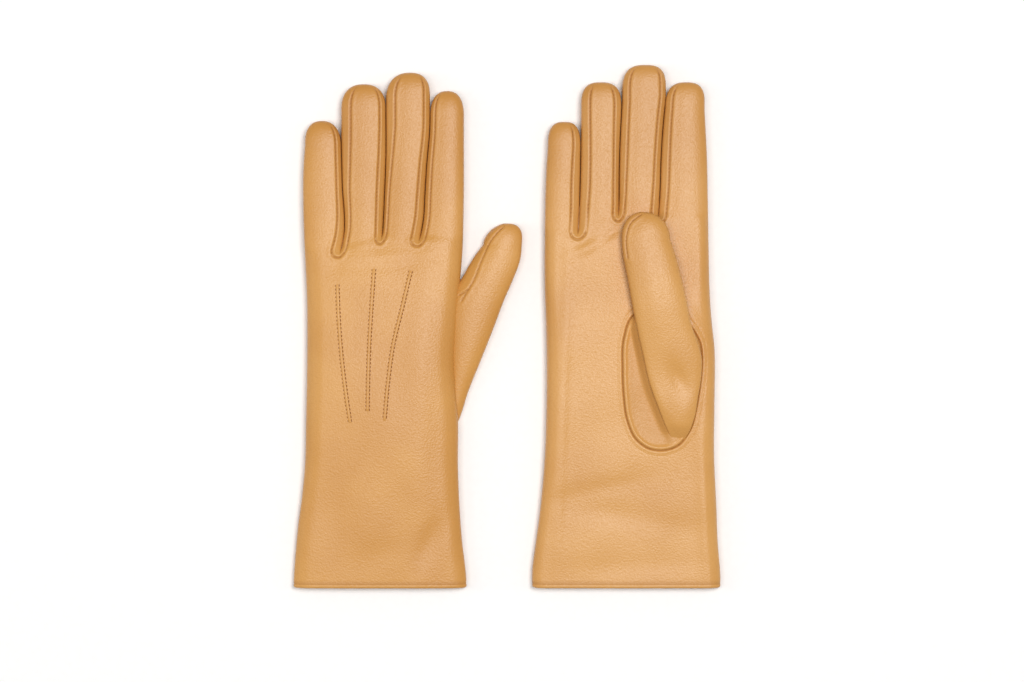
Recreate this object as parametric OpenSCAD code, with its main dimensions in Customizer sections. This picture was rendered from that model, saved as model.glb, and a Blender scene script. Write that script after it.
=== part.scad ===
// Pair of long leather dress gloves laid flat, side by side.
// The left-hand glove lies back up with its thumb out, the right-hand glove palm up with its thumb folded in.
// +Y runs towards the fingertips, +Z up. The origin is at the middle of the pair's base.

/* [Pair] */
// Overall width of the two gloves as they lie
pair_w = 221.6; // [215:0.2:260]
// Overall length from cuff edge to longest fingertip
pair_len = 271; // [268:1:280]

/* [Leather] */
// Thickness of the lambskin
leather_t = 0.8; // [0.6:0.1:1]
// Thickness of the knitted lining
lining_t = 0.5; // [0.4:0.1:0.6]
// Gap between neighbouring finger stalls
finger_gap = 0.5; // [0.5:0.1:0.8]
// Depth of the turned hem at the cuff edge
hem_w = 2; // [1.5:0.5:3]

/* [Lofts] */
// Height of the cuff edge above the table
cuff_h = 9.5; // [9:0.5:12]
// Height of the hand at the knuckles
hand_h = 12.6; // [11:0.1:13]
// Height of a finger near its tip
finger_h = 11.6; // [10.5:0.1:12.5]
// Height of the folded thumb above the palm
thumb_h = 11; // [9:0.5:12]

/* [Back points] */
// Distance between the two stitch rows of a point
point_w = 1.7; // [1.4:0.1:2.2]
// Height of the raised ridge between them
point_h = 0.5; // [0.3:0.1:0.5]
// Width of a stitch row's thread
thread_w = 0.4; // [0.3:0.1:0.5]

/* [Hidden] */

leather = "#DDA866";
fourchette = "#CF9550";
lining = "#C9A983";
thread = "#965F28";

// Half sizes of the pair's box: every outline is placed from these.
hx = pair_w / 2;
hy = pair_len / 2;
seat = 0.05;     // clearance between the leather and the lining inside it
joint_gap = 0.3; // clearance between a finger and the hand at the finger's fold
lining_in = leather_t + seat;

LEFT = 0;
RIGHT = 1;

// Outlines: the hand's side edges as [y, x], from the cuff edge to the finger folds.
edge_outer = [
    [[-hy, -hx], [-105, 2.7 - hx], [-60, 7 - hx], [-15, 7.4 - hx], [60, 5.8 - hx]],
    [[-hy, 13], [-125, 13.4], [-95, 17.2], [-64, 19.8], [-10, 20.3], [24, 19.4], [70, 19.8]]
];
edge_inner = [
    [[-hy, -20.8], [-125, -21.6], [-95, -24.4], [-60, -25.4], [-15, -26.8], [20, -25], [46, -22.8]],
    [[-hy, hx], [-125, hx - 0.2], [-95, hx - 2.3], [-64, hx - 3.7], [-15, hx - 3.4], [15, hx - 5.8], [70, hx - 6.9]]
];

// Folds between the hand and the fingers, and the side creases between neighbouring fingers.
fold_y = [46, 62];
crease_top_y = 110;
crease_root = [
    [5.8 - hx, -84.6, -64.4, -44.6, -22.8],
    [19.8, 36.9, 57.8, 78.4, hx - 6.7]
];
crease_top = [
    [6.2 - hx, -85.9, -62.8, -39.8, -22.4],
    [21.2, 38.4, 59.3, 82.2, hx - 8.8]
];
tip_y = [[106.5, 125.5, hy - 4, 122], [106, 126.5, hy, 126.5]];
tip_len = 12; // length of a fingertip's rounded end

// Sections are closed rings: an arc at each side edge and a nearly flat top and bottom.
arc_angles = [-90, -54, 0, 54, 90];
arc_n = 4;     // cells in a side arc; the middle two are a fourchette's
finger_nf = 2; // cells across the top of a finger
hand_nf = 8;   // cells across the top of a hand

// Ring between the plan points a and b, half height hh about zc, side arcs as deep as side,
// top raised by crown and bottom raised by lift at mid width, all moved inwards by in.
function ring(a, b, zc, hh, side, crown, lift, nf, in) =
    let (len_ab = norm(b - a), u = (b - a) / len_ab, r = hh - in, s = side - in, w = len_ab - 2 * side)
    concat(
        [for (g = arc_angles) let (d = side + w + s * cos(g)) concat(a + u * d, [zc + r * sin(g)])],
        [for (k = [1:nf - 1]) let (t = 1 - k / nf)
            concat(a + u * (side + w * t), [zc + r + crown * 4 * t * (1 - t)])],
        [for (g = arc_angles) let (d = side - s * cos(g)) concat(a + u * d, [zc - r * sin(g)])],
        [for (k = [1:nf - 1]) let (t = k / nf)
            concat(a + u * (side + w * t), [zc - r + lift * 4 * t * (1 - t)])]
    );

// Cells of a ring, in order: inner-edge arc, top, outer-edge arc, bottom.
function on_right(j) = j >= 1 && j <= 2;
function on_left(j, nf) = j >= arc_n + nf + 1 && j <= arc_n + nf + 2;

function middle(pts) = [for (c = [0:2]) let (v = [for (p = pts) p[c]]) v * [for (x = v) 1] / len(v)];
// Point at a stack's closed end, lead past the middle of its last ring
function apex(rings, lead) =
    let (n = len(rings), last = middle(rings[n - 1]), step = last - middle(rings[n - 2]))
    last + step / norm(step) * lead;

// Thin wall between two stacks of rings. keep(i, j) says which cells are leather. With a lead,
// the wall is closed by a low cone of that height on its last ring.
module wall(outside, inside, keep, lead = 0) {
    n = len(outside);
    m = len(outside[0]);
    base = n * m;
    capped = lead > 0;
    kept = function (i, j) i >= 0 && i < n - 1 && keep(i, (j + m) % m);
    at = function (i, j) i * m + (j + m) % m;
    points = concat([for (r = outside, p = r) p], [for (r = inside, p = r) p],
                    capped ? [apex(outside, lead), apex(inside, lead)] : []);
    skins = [for (i = [0:n - 2], j = [0:m - 1]) if (kept(i, j))
        each let (p = at(i, j), q = at(i, j + 1), r = at(i + 1, j + 1), s = at(i + 1, j)) [
            [p, r, s], [p, q, r],
            [base + p, base + s, base + r], [base + p, base + r, base + q]
        ]];
    sides = [for (i = [0:n - 2], j = [0:m - 1]) if (kept(i, j)) each concat(
        kept(i - 1, j) ? [] : [[at(i, j), base + at(i, j), base + at(i, j + 1), at(i, j + 1)]],
        kept(i + 1, j) || (capped && i == n - 2) ? [] :
            [[at(i + 1, j), at(i + 1, j + 1), base + at(i + 1, j + 1), base + at(i + 1, j)]],
        kept(i, j - 1) ? [] : [[at(i, j), at(i + 1, j), base + at(i + 1, j), base + at(i, j)]],
        kept(i, j + 1) ? [] :
            [[at(i + 1, j + 1), at(i, j + 1), base + at(i, j + 1), base + at(i + 1, j + 1)]]
    )];
    caps = capped ? [for (j = [0:m - 1]) each [
        [at(n - 1, j), at(n - 1, j + 1), 2 * base],
        [base + at(n - 1, j + 1), base + at(n - 1, j), 2 * base + 1]
    ]] : [];
    polyhedron(points, concat(skins, sides, caps), convexity = 6);
}

// Hand and cuff
arc_side = 6;
function hand_h_at(y) = lookup(y, [[-hy, cuff_h], [-95, cuff_h + 1.2], [-40, hand_h], [70, hand_h]]);
function crown_at(side, y) = side == RIGHT ? 0.3 : lookup(y, [[-hy, 0.7], [-30, 1.6], [20, 1.2], [46, 0.4]]);
point_seat = 0.18; // clearance between the back and the points sewn on it
// The right glove's back rests on its points, so its leather is a little higher than they are.
back_lift = point_h + point_seat + 0.03;
function lift_at(side, y) =
    side == LEFT ? 0 : lookup(y, [[-hy + hem_w, 0], [-100, back_lift], [32, back_lift], [60, 0]]);
function hand_ring(side, y, in) =
    let (h = hand_h_at(y), a = lookup(y, edge_outer[side]), b = lookup(y, edge_inner[side]),
         up = lift_at(side, y))
    ring([a, y], [b, y], (h + up) / 2, (h - up) / 2, arc_side, crown_at(side, y), 0, hand_nf, in);

hand_end = [for (side = [LEFT, RIGHT]) fold_y[side] - joint_gap / 2];
hand_stations = [for (side = [LEFT, RIGHT])
    [-hy + hem_w, -118, -98, -76, -52, -36, -18, 0, 19.6, 34, hand_end[side]]];
// The hand is open where the thumb leaves it: at the edge on the left, in the palm on the right.
slot_first = 4;
slot_last = 7;
palm_hole = [arc_n + 1, arc_n + 3];
function at_thumb(side, i, j) =
    i >= slot_first && i <= slot_last
    && (side == LEFT ? j < arc_n : i < slot_last && j >= palm_hole[0] && j <= palm_hole[1]);

module trank(side) {
    color(leather)
    wall([for (y = hand_stations[side]) hand_ring(side, y, 0)],
         [for (y = hand_stations[side]) hand_ring(side, y, leather_t)],
         function (i, j) !at_thumb(side, i, j));
}

module hand_lining(side) {
    color(lining)
    wall([for (y = hand_stations[side]) hand_ring(side, y, lining_in)],
         [for (y = hand_stations[side]) hand_ring(side, y, lining_in + lining_t)],
         function (i, j) !at_thumb(side, i, j));
}

// The cuff edge is turned in, so the hem is two skins thick.
module hem(side) {
    turns = [-hy, -hy + hem_w];
    color(leather)
    wall([for (y = turns) hand_ring(side, y, 0)],
         [for (y = turns) hand_ring(side, y, 2 * leather_t)],
         function (i, j) true);
}

// Fingers
finger_side = 5.5;
function crease_x(side, k, y) =
    let (t = (y - fold_y[side]) / (crease_top_y - fold_y[side]))
    crease_root[side][k] + (crease_top[side][k] - crease_root[side][k]) * t;
function inside_crease(k) = k > 0 && k < 4 ? finger_gap / 2 : 0;
// A station is [y, shrink]: shrink falls from 1 to 0 round the fingertip.
tip_turns = [0, 32, 56, 74];
tip_lead = 0.5; // the blunt point that closes a tip
body_steps = [0, 0.34, 0.68];
function finger_stations(side, k) =
    let (root = fold_y[side] + joint_gap / 2, end = tip_y[side][k] - tip_len)
    concat(
        [for (t = body_steps) [root + (end - root) * t, 1]],
        [for (g = tip_turns) [end + (tip_len - tip_lead) * sin(g) / sin(74), cos(g)]]
    );
function finger_h_at(side, y) = lookup(y, [[fold_y[side], hand_h], [fold_y[side] + 45, finger_h]]);
function finger_ring(side, k, st, in) =
    let (y = st[0], h = finger_h_at(side, y), tip = tip_y[side][k] - tip_len,
         a = crease_x(side, k, min(y, tip)) + inside_crease(k),
         b = crease_x(side, k + 1, min(y, tip)) - inside_crease(k + 1),
         mid = (a + b) / 2, half = (b - a) / 2 * st[1],
         hh = h / 2 * (0.35 + 0.65 * st[1]))
    ring([mid - half, y], [mid + half, y], h / 2, hh, min(finger_side, half * 0.8),
         0.4 * st[1], 0, finger_nf, min(in, half * 0.6));
function finger_rings(side, k, in) =
    [for (st = finger_stations(side, k)) finger_ring(side, k, st, in)];
// The lining and the inner skin stop short of the tip by their own depth.
function drawn_in(rings, in) =
    let (last = len(rings) - 1)
    [for (i = [0:last]) i < last - 1 ? rings[i] : [for (p = rings[i]) p - [0, in, 0]]];

fourchette_last = 5; // fourchettes taper out at this ring
has_outer = [false, true, true, true];  // side towards the little finger
has_inner = [true, true, true, false];  // side towards the index finger
function in_outer(k, i, j) = has_outer[k] && i < fourchette_last && on_left(j, finger_nf);
function in_inner(k, i, j) = has_inner[k] && i < fourchette_last && on_right(j);

module stall(side, k) {
    color(leather)
    wall(finger_rings(side, k, 0), drawn_in(finger_rings(side, k, leather_t), leather_t),
         function (i, j) !in_outer(k, i, j) && !in_inner(k, i, j), lead = tip_lead);
}

module finger_fourchette(side, k, outer) {
    color(fourchette)
    wall(finger_rings(side, k, 0), drawn_in(finger_rings(side, k, leather_t), leather_t),
         function (i, j) outer ? in_outer(k, i, j) : in_inner(k, i, j));
}

module finger_lining(side, k) {
    deep = lining_in + lining_t;
    color(lining)
    wall(drawn_in(finger_rings(side, k, lining_in), lining_in),
         drawn_in(finger_rings(side, k, deep), deep),
         function (i, j) true, lead = tip_lead);
}

// Thumbs: pairs of plan points, on the inner and the outer edge, from the root to the tip.
left_thumb_pairs = [
    [[-30.4, 18.8], [-30.4, -51.4]], [[-23.8, 19.2], [-22.5, -41]], [[-22.6, 26], [-9, -6]],
    [[-18.8, 33], [0, 17]], [[-12.6, 41.4], [6.4, 32.5]], [[-7.2, 47.6], [7.8, 43]],
    [[-2.6, 51.4], [6.4, 48.6]], [[0.4, 52.8], [4.4, 51.4]]
];
right_thumb_pairs = [
    [[64.6, 10], [92.4, 15.6]], [[62, 25], [89.8, 29]], [[59.6, 38], [86.4, 41]],
    [[59.4, 47.5], [82, 50.5]], [[62.4, 53.6], [78, 55.8]], [[66.4, 57], [73.6, 58]]
];
root_pairs = [
    [[78, -63], [86, -63]], [[66, -54], [94, -54]], [[60.6, -38], [98.4, -38]],
    [[60, -18], [100, -16]], [[63.4, 0], [96.2, 4]], [[64.6, 9.7], [92.4, 15.3]]
];
palm_z = hand_h + 0.4; // height of the palm that the folded thumb lies on
root_tops = [1.8, 3.4, 5.4, 7.8, 10, 11];

// Rings over the pairs, from height bottom up to the height that tops gives each one.
function thumb_rings(pairs, bottom, tops, in) =
    [for (i = [0:len(pairs) - 1])
        let (a = pairs[i][0], b = pairs[i][1], half = norm(b - a) / 2)
        ring(a, b, bottom + thumb_h / 2 - (thumb_h - tops[i]) / 2, tops[i] / 2,
             min(5, half * 0.7), min(0.3, tops[i] / 20), 0, finger_nf,
             min(in, half * 0.5, tops[i] * 0.3))];
left_tops = [for (d = [0, 0, 0, 0, 0, 1, 3.2, 5.6]) thumb_h - d];
right_tops = [for (d = [0, 0, 0, 1, 3.2, 6]) thumb_h - d];

module left_thumb_wall(in, t) {
    wall(thumb_rings(left_thumb_pairs, 0, left_tops, in),
         thumb_rings(left_thumb_pairs, 0, left_tops, in + t),
         function (i, j) true, lead = tip_lead);
}

module right_thumb_wall(in, t) {
    wall(thumb_rings(right_thumb_pairs, palm_z, right_tops, in),
         thumb_rings(right_thumb_pairs, palm_z, right_tops, in + t),
         function (i, j) true, lead = tip_lead);
}

module thumb(side) {
    color(leather)
    if (side == LEFT) left_thumb_wall(0, leather_t);
    else right_thumb_wall(0, leather_t);
}

module thumb_lining(side) {
    color(lining)
    if (side == LEFT) left_thumb_wall(lining_in, lining_t);
    else right_thumb_wall(lining_in, lining_t);
}

// The root is sewn into the palm's hole, so its underside is open.
module right_thumb_root() {
    color(leather)
    wall(thumb_rings(root_pairs, palm_z, root_tops, 0),
         thumb_rings(root_pairs, palm_z, root_tops, leather_t),
         function (i, j) j < 2 * arc_n + finger_nf);
}

// Back points: three raised ridges, each as plan points from its top end to its bottom end.
point_paths = [
    [[-87.6, 22], [-86.9, 5], [-85.6, -13], [-83.6, -31], [-80.9, -50]],
    [[-68.6, 30], [-69.8, 12], [-71, -8], [-71.6, -26], [-71.9, -44]],
    [[-49.6, 29], [-54, 10], [-58.6, -9], [-61.4, -29], [-63.2, -49]]
];
pair_shift = 125.4; // distance from the left glove to the right one, point for point
function path(side, k) = [for (p = point_paths[k]) p + [side * pair_shift, 0]];
// Height of the leather's outer face on the back of the hand
function back_z(side, p) =
    let (a = lookup(p[1], edge_outer[side]) + arc_side, b = lookup(p[1], edge_inner[side]) - arc_side,
         t = (p[0] - a) / (b - a))
    side == LEFT ? hand_h_at(p[1]) + crown_at(side, p[1]) * 4 * t * (1 - t) : lift_at(side, p[1]);

// Strip along a path: w wide, h high, its middle off to one side, standing proud of the back.
module strip(side, pts, off, w, h) {
    up = side == LEFT ? 1 : -1;
    n = len(pts);
    rows = [for (p = pts)
        let (z = back_z(side, p) + up * point_seat, low = min(z, z + up * h), high = max(z, z + up * h))
        [[p[0] + off - w / 2, p[1], low], [p[0] + off + w / 2, p[1], low],
         [p[0] + off + w / 4, p[1], high], [p[0] + off - w / 4, p[1], high]]];
    flip = [for (r = rows) [r[3] - [w / 4, 0, 0], r[2] + [w / 4, 0, 0], r[1] - [w / 4, 0, 0],
                            r[0] + [w / 4, 0, 0]]];
    use_rows = side == LEFT ? rows : [for (r = flip) [r[3], r[2], r[1], r[0]]];
    sides = [for (i = [0:n - 2], j = [0:3]) let (q = (j + 1) % 4)
        [4 * i + j, 4 * i + 4 + j, 4 * i + 4 + q, 4 * i + q]];
    polyhedron([for (r = use_rows, p = r) p],
               concat(sides, [[0, 1, 2, 3], [4 * n - 1, 4 * n - 2, 4 * n - 3, 4 * n - 4]]));
}

module point(side, k) {
    color(leather) strip(side, path(side, k), 0, point_w - thread_w, point_h);
}

module point_thread(side) {
    color(thread)
    for (k = [0:2], s = [-1, 1])
        strip(side, path(side, k), s * (point_w + 0.1) / 2, thread_w, 0.25);
}

trank(LEFT);  // left_trank
hem(LEFT);  // left_hem
thumb(LEFT);  // left_thumb
hand_lining(LEFT);  // left_hand_lining
thumb_lining(LEFT);  // left_thumb_lining
point(LEFT, 0);  // left_point_outer
point(LEFT, 1);  // left_point_middle
point(LEFT, 2);  // left_point_inner
point_thread(LEFT);  // left_point_thread
stall(LEFT, 0);  // left_little_stall
stall(LEFT, 1);  // left_ring_stall
stall(LEFT, 2);  // left_middle_stall
stall(LEFT, 3);  // left_index_stall
finger_fourchette(LEFT, 0, false);  // left_little_fourchette
finger_fourchette(LEFT, 1, true);  // left_ring_fourchette_outer
finger_fourchette(LEFT, 1, false);  // left_ring_fourchette_inner
finger_fourchette(LEFT, 2, true);  // left_middle_fourchette_outer
finger_fourchette(LEFT, 2, false);  // left_middle_fourchette_inner
finger_fourchette(LEFT, 3, true);  // left_index_fourchette
finger_lining(LEFT, 0);  // left_little_lining
finger_lining(LEFT, 1);  // left_ring_lining
finger_lining(LEFT, 2);  // left_middle_lining
finger_lining(LEFT, 3);  // left_index_lining
trank(RIGHT);  // right_trank
hem(RIGHT);  // right_hem
thumb(RIGHT);  // right_thumb
right_thumb_root();
hand_lining(RIGHT);  // right_hand_lining
thumb_lining(RIGHT);  // right_thumb_lining
point(RIGHT, 0);  // right_point_outer
point(RIGHT, 1);  // right_point_middle
point(RIGHT, 2);  // right_point_inner
point_thread(RIGHT);  // right_point_thread
stall(RIGHT, 0);  // right_little_stall
stall(RIGHT, 1);  // right_ring_stall
stall(RIGHT, 2);  // right_middle_stall
stall(RIGHT, 3);  // right_index_stall
finger_fourchette(RIGHT, 0, false);  // right_little_fourchette
finger_fourchette(RIGHT, 1, true);  // right_ring_fourchette_outer
finger_fourchette(RIGHT, 1, false);  // right_ring_fourchette_inner
finger_fourchette(RIGHT, 2, true);  // right_middle_fourchette_outer
finger_fourchette(RIGHT, 2, false);  // right_middle_fourchette_inner
finger_fourchette(RIGHT, 3, true);  // right_index_fourchette
finger_lining(RIGHT, 0);  // right_little_lining
finger_lining(RIGHT, 1);  // right_ring_lining
finger_lining(RIGHT, 2);  // right_middle_lining
finger_lining(RIGHT, 3);  // right_index_lining
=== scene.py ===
"""A pair of long nappa leather dress gloves laid flat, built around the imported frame.

The left-hand glove lies back up with its thumb out, the right-hand glove palm up with its thumb
folded over the palm. Lengths in this file are millimetres until a mesh is made, and every place
is in the frame's own axes: +Y towards the fingertips, +Z up.
"""

import logging
import math
from collections.abc import Callable, Sequence
from dataclasses import dataclass
from enum import Enum

import bpy
import numpy as np
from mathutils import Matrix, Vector
from mathutils.bvhtree import BVHTree


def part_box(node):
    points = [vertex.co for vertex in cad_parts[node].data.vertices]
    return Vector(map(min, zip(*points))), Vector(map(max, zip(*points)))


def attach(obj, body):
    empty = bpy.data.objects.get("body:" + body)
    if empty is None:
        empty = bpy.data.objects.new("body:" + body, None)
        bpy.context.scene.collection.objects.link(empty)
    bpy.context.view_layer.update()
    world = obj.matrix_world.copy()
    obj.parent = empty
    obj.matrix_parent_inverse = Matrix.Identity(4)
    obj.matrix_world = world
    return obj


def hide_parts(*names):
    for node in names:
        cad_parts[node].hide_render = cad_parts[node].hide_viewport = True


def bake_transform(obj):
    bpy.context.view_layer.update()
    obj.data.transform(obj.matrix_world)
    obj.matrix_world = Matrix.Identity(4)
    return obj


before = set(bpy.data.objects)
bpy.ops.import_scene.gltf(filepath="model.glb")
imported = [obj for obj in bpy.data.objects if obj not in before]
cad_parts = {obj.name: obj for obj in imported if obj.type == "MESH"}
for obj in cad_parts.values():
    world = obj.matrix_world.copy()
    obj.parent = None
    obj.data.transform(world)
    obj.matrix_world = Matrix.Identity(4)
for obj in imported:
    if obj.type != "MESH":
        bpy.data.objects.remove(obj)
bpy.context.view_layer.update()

log = logging.getLogger("gloves")

MM = 0.001
# Stands for "no seam near here" among distances to seams.
FAR = 9.0
# Spacing of the beads that stitches press into a seam.
BEAD_MM = 2.1
# Thickness of a filled hand.
HAND_MM = 12.5
# Height that parts a lying glove's upper face from its underside.
HALFWAY_UP = 6.5
# The last ring of a tip lies this far round it. A fan of triangles closes the rest.
TIP_TURN = math.radians(84)
Array = np.ndarray
Curve = Callable[[Array], Array]
Points = Sequence[tuple[float, float]]
Fold = tuple[tuple[float, float, float], ...]


class Side(Enum):
    """Which hand a glove is for."""

    LEFT = "left"
    RIGHT = "right"


class Finger(Enum):
    """The four fingers, counted from the outer edge of the hand."""

    LITTLE = 0
    RING = 1
    MIDDLE = 2
    INDEX = 3

    @property
    def word(self) -> str:
        """The finger's name as nodes spell it."""
        return self.name.lower()


# ---------------------------------------------------------------- curves and small shapes


def smooth(t: Array) -> Array:
    """Eases t from 0 to 1, flat at both ends."""
    t = np.clip(t, 0.0, 1.0)
    return t * t * (3.0 - 2.0 * t)


def bell(distance: Array, width: float) -> Array:
    """A bump of height 1 that fades over the given width."""
    return np.exp(-((distance / width) ** 2))


def curve_through(points: Points) -> Curve:
    """Makes a smooth curve through a few points.

    Args:
        points: Pairs of place and value, in rising order of place.

    Returns:
        A function from places to values, constant past both ends.
    """
    at, value = (np.array(column, float) for column in zip(*points))
    slope = np.gradient(value, at)

    def curve(where: Array) -> Array:
        """The value at each place."""
        x = np.clip(np.asarray(where, float), at[0], at[-1])
        i = np.clip(np.searchsorted(at, x, side="right") - 1, 0, len(at) - 2)
        span = at[i + 1] - at[i]
        t = (x - at[i]) / span
        a, b = slope[i] * span, slope[i + 1] * span
        rise = value[i + 1] - value[i]
        return value[i] + t * (a + t * (3 * rise - 2 * a - b + t * (a + b - 2 * rise)))

    return curve


def soft_waves(x: Array, y: Array, wavelength: float, seed: int) -> Array:
    """Gentle unevenness, as soft leather has when it lies filled with air.

    Args:
        x: Places across the glove.
        y: Places along the glove.
        wavelength: Usual distance between two rises.
        seed: Picks the pattern.

    Returns:
        Heights between about -1 and 1.
    """
    rng = np.random.default_rng(seed)
    total = np.zeros(np.broadcast(x, y).shape)
    for _ in range(6):
        angle, phase = rng.uniform(0, 2 * math.pi, 2)
        step = 2 * math.pi / (wavelength * rng.uniform(0.7, 1.5))
        total += np.sin(step * (x * math.cos(angle) + y * math.sin(angle)) + phase)
    return total / 3.5


# ---------------------------------------------------------------- meshes


@dataclass
class Skin:
    """A grid of points on a leather's outer face. Its last column meets its first.

    Attributes:
        points: Rows along the glove by columns round it, in millimetres.
        normals: Outward directions at the points.
        seam: How dark each point is painted near a seam or crease, 0 to 1: partly dye gathered
            there, partly painted shade.
    """

    points: Array
    normals: Array
    seam: Array

    def rows(self, first: int, last: int | None) -> "Skin":
        """Some rows of the grid."""
        return Skin(*(a[first:last] for a in (self.points, self.normals, self.seam)))

    def thinned(self, step: int) -> "Skin":
        """The same surface with fewer rows and columns."""
        kept = np.unique(np.append(np.arange(0, len(self.points), step), len(self.points) - 1))
        return Skin(*(a[kept][:, ::step] for a in (self.points, self.normals, self.seam)))

    def inwards(self, depth: float) -> "Skin":
        """The same grid moved inwards."""
        return Skin(self.points - self.normals * depth, self.normals, self.seam)


def ring_normals(points: Array) -> Array:
    """Outward directions of a grid of rings. Columns run anticlockwise seen along the rows."""
    ringed = np.concatenate([points[:, -1:], points, points[:, :1]], axis=1)
    across = np.gradient(ringed, axis=1)[:, 1:-1]
    normal = np.cross(across, np.gradient(points, axis=0))
    return normal / np.maximum(np.linalg.norm(normal, axis=2, keepdims=True), 1e-9)


def make_object(name: str, vertices: Array, faces: Array | list, finish: bpy.types.Material,
                seam: Array | None = None, normals: Array | None = None) -> bpy.types.Object:
    """Makes a smooth mesh object and remembers where each point lies at rest.

    Args:
        name: Object name.
        vertices: Points in millimetres.
        faces: Corner indices of each face.
        finish: Material for the whole piece.
        seam: How dark each point is painted near a seam, partly dye and partly painted shade, for
            the finish.
        normals: Shading directions, where neighbouring pieces have to match.

    Returns:
        The new object.
    """
    mesh = bpy.data.meshes.new(name)
    corners = faces if isinstance(faces, list) else faces.tolist()
    mesh.from_pydata((vertices * MM).tolist(), [], corners)
    mesh.shade_smooth()
    rest = mesh.attributes.new("rest_mm", "FLOAT_VECTOR", "POINT")
    rest.data.foreach_set("vector", vertices.astype(np.float32).ravel())
    depth = mesh.attributes.new("seam", "FLOAT", "POINT")
    values = np.zeros(len(vertices)) if seam is None else seam
    depth.data.foreach_set("value", values.astype(np.float32))
    if normals is not None:
        mesh.normals_split_custom_set_from_vertices(normals.tolist())
    mesh.materials.append(finish)
    obj = bpy.data.objects.new(name, mesh)
    bpy.context.scene.collection.objects.link(obj)
    return obj


def make_shell(name: str, skin: Skin, thickness: float, finish: bpy.types.Material,
               keep: Array | None = None, tip: bool = False) -> bpy.types.Object:
    """Turns some cells of a ring grid into a closed shell of even thickness.

    Args:
        name: Object name.
        skin: The outer face.
        thickness: Thickness, inwards.
        finish: Material.
        keep: Which cells are there, rows less one by columns. All are by default.
        tip: Whether the last ring is closed, as a fingertip is.

    Returns:
        The new object.
    """
    rows, columns = skin.points.shape[:2]
    if keep is None:
        keep = np.ones((rows - 1, columns), bool)
    count = rows * columns
    index = np.arange(count).reshape(rows, columns)
    here, beside = index, np.roll(index, -1, axis=1)
    a, b, c, d = here[:-1], beside[:-1], beside[1:], here[1:]
    outer = np.stack([a, b, c, d], axis=-1)[keep]
    faces = [outer, outer[:, ::-1] + count]
    closed = np.zeros_like(keep[:1])
    before = np.concatenate([closed, keep[:-1]])
    after = np.concatenate([keep[1:], np.full_like(closed, tip)])
    for edge, (p, q) in ((keep & ~before, (b, a)), (keep & ~after, (d, c)),
                         (keep & ~np.roll(keep, 1, axis=1), (a, d)),
                         (keep & ~np.roll(keep, -1, axis=1), (c, b))):
        p, q = p[edge], q[edge]
        faces.append(np.stack([p, q, q + count, p + count], axis=-1))
    faces = np.concatenate(faces)
    inner = skin.inwards(thickness)
    vertices = np.concatenate([skin.points.reshape(-1, 3), inner.points.reshape(-1, 3)])
    normals = np.concatenate([skin.normals.reshape(-1, 3), -skin.normals.reshape(-1, 3)])
    seam = np.tile(skin.seam.ravel(), 2)
    used = np.unique(faces)
    renumber = np.zeros(2 * count, int)
    renumber[used] = np.arange(len(used))
    vertices, normals, seam = vertices[used], normals[used], seam[used]
    face_list = renumber[faces].tolist()
    if tip:
        lead = skin.points[-1].mean(axis=0) - skin.points[-3].mean(axis=0)
        lead /= np.linalg.norm(lead)
        for layer, way in ((0, 1), (1, -1)):
            ring = renumber[index[-1] + layer * count]
            end = vertices[ring].mean(axis=0) + lead * 0.05
            vertices = np.concatenate([vertices, [end]])
            normals = np.concatenate([normals, [lead * way]])
            seam = np.append(seam, 0.0)
            for p, q in zip(ring, np.roll(ring, -1)):
                corner = [int(p), int(q), len(vertices) - 1]
                face_list.append(corner if way > 0 else corner[::-1])
    return make_object(name, vertices, face_list, finish, seam, normals)


def make_tube(name: str, skin: Skin, finish: bpy.types.Material) -> bpy.types.Object:
    """Turns rings into a solid tube with flat ends.

    Args:
        name: Object name.
        skin: The tube's face.
        finish: Material.

    Returns:
        The new object.
    """
    rows, columns = skin.points.shape[:2]
    index = np.arange(rows * columns).reshape(rows, columns)
    beside = np.roll(index, -1, axis=1)
    sides = np.stack([index[:-1], beside[:-1], beside[1:], index[1:]], axis=-1).reshape(-1, 4)
    faces = sides.tolist() + [index[0, ::-1].tolist(), index[-1].tolist()]
    return make_object(name, skin.points.reshape(-1, 3), faces, finish, skin.seam.ravel())


def make_rod_set(name: str, runs: Sequence[Array], radius: float, sides: int,
                 finish: bpy.types.Material) -> bpy.types.Object:
    """Makes many short round rods with rounded ends, such as stitches, as one object.

    Args:
        name: Object name.
        runs: Middle points of each rod, in millimetres.
        radius: Radius at each rod's middle.
        sides: Sides of a rod.
        finish: Material.

    Returns:
        The new object.
    """
    vertices, faces = [], []
    turn = np.linspace(0, 2 * math.pi, sides, endpoint=False)
    for run in runs:
        n = len(run)
        along = np.gradient(run, axis=0)
        along /= np.linalg.norm(along, axis=1, keepdims=True)
        side = np.cross(along, [0.0, 0.0, 1.0])
        side /= np.linalg.norm(side, axis=1, keepdims=True)
        up = np.cross(side, along)
        t = np.linspace(-0.97, 0.97, n)
        size = radius * (1 - np.abs(t) ** 3.0) ** 0.5
        ring = (np.cos(turn)[None, :, None] * side[:, None]
                + np.sin(turn)[None, :, None] * up[:, None])
        first = len(vertices) * n * sides
        vertices.append((run[:, None] + ring * size[:, None, None]).reshape(-1, 3))
        for i in range(n - 1):
            for j in range(sides):
                k = (j + 1) % sides
                faces.append([first + i * sides + j, first + i * sides + k,
                              first + (i + 1) * sides + k, first + (i + 1) * sides + j])
        faces.append([first + j for j in range(sides)][::-1])
        faces.append([first + (n - 1) * sides + j for j in range(sides)])
    return make_object(name, np.concatenate(vertices), faces, finish)


# ---------------------------------------------------------------- finishes


def linear(hex_colour: str) -> tuple[float, float, float, float]:
    """Turns an sRGB hex colour into linear values."""
    parts = [int(hex_colour[i:i + 2], 16) / 255 for i in (1, 3, 5)]
    flat = [c / 12.92 if c <= 0.04045 else ((c + 0.055) / 1.055) ** 2.4 for c in parts]
    return (*flat, 1.0)


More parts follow.
